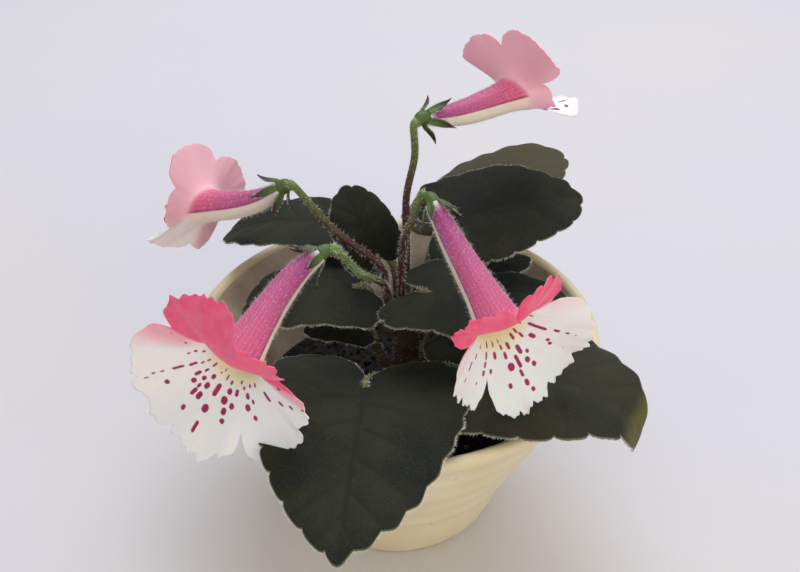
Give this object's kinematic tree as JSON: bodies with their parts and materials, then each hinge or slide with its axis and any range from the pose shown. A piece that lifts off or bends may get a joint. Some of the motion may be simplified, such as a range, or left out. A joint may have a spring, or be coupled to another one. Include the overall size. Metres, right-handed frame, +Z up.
{
  "type": "potted plant",
  "caption": "Slipper gloxinia in a cream glazed pot, with twelve velvety dark leaves and four pink and white spotted flowers.",
  "frame": {"origin": "centre of the pot's flat base", "axes": "+Z up along the pot's axis, -Y towards the front of the plant, +X to the right seen from the front"},
  "size_m": [0.1312, 0.1422, 0.1338],
  "materials": {
    "pot": "satin",
    "soil": "matte",
    "stem": "matte",
    "leaf": "matte",
    "stalk": "matte",
    "petal": "matte"
  },
  "bodies": {
    "root": {"pot": "pot", "soil": "soil", "stem": "stem", "leaf_front": "leaf", "leaf_front_right": "leaf", "leaf_right_back": "leaf", "leaf_back_right": "leaf", "leaf_back": "leaf", "leaf_back_left": "leaf", "leaf_left": "leaf", "leaf_top_right": "leaf", "leaf_right": "leaf", "leaf_low_right": "leaf", "leaf_low_back": "leaf", "leaf_low_left": "leaf", "stalk_front_left": "stalk", "stalk_front_right": "stalk", "stalk_back_left": "stalk", "stalk_top": "stalk", "corolla_front_left": "petal", "corolla_front_right": "petal", "corolla_back_left": "petal", "corolla_top": "petal"}
  },
  "joints": []
}
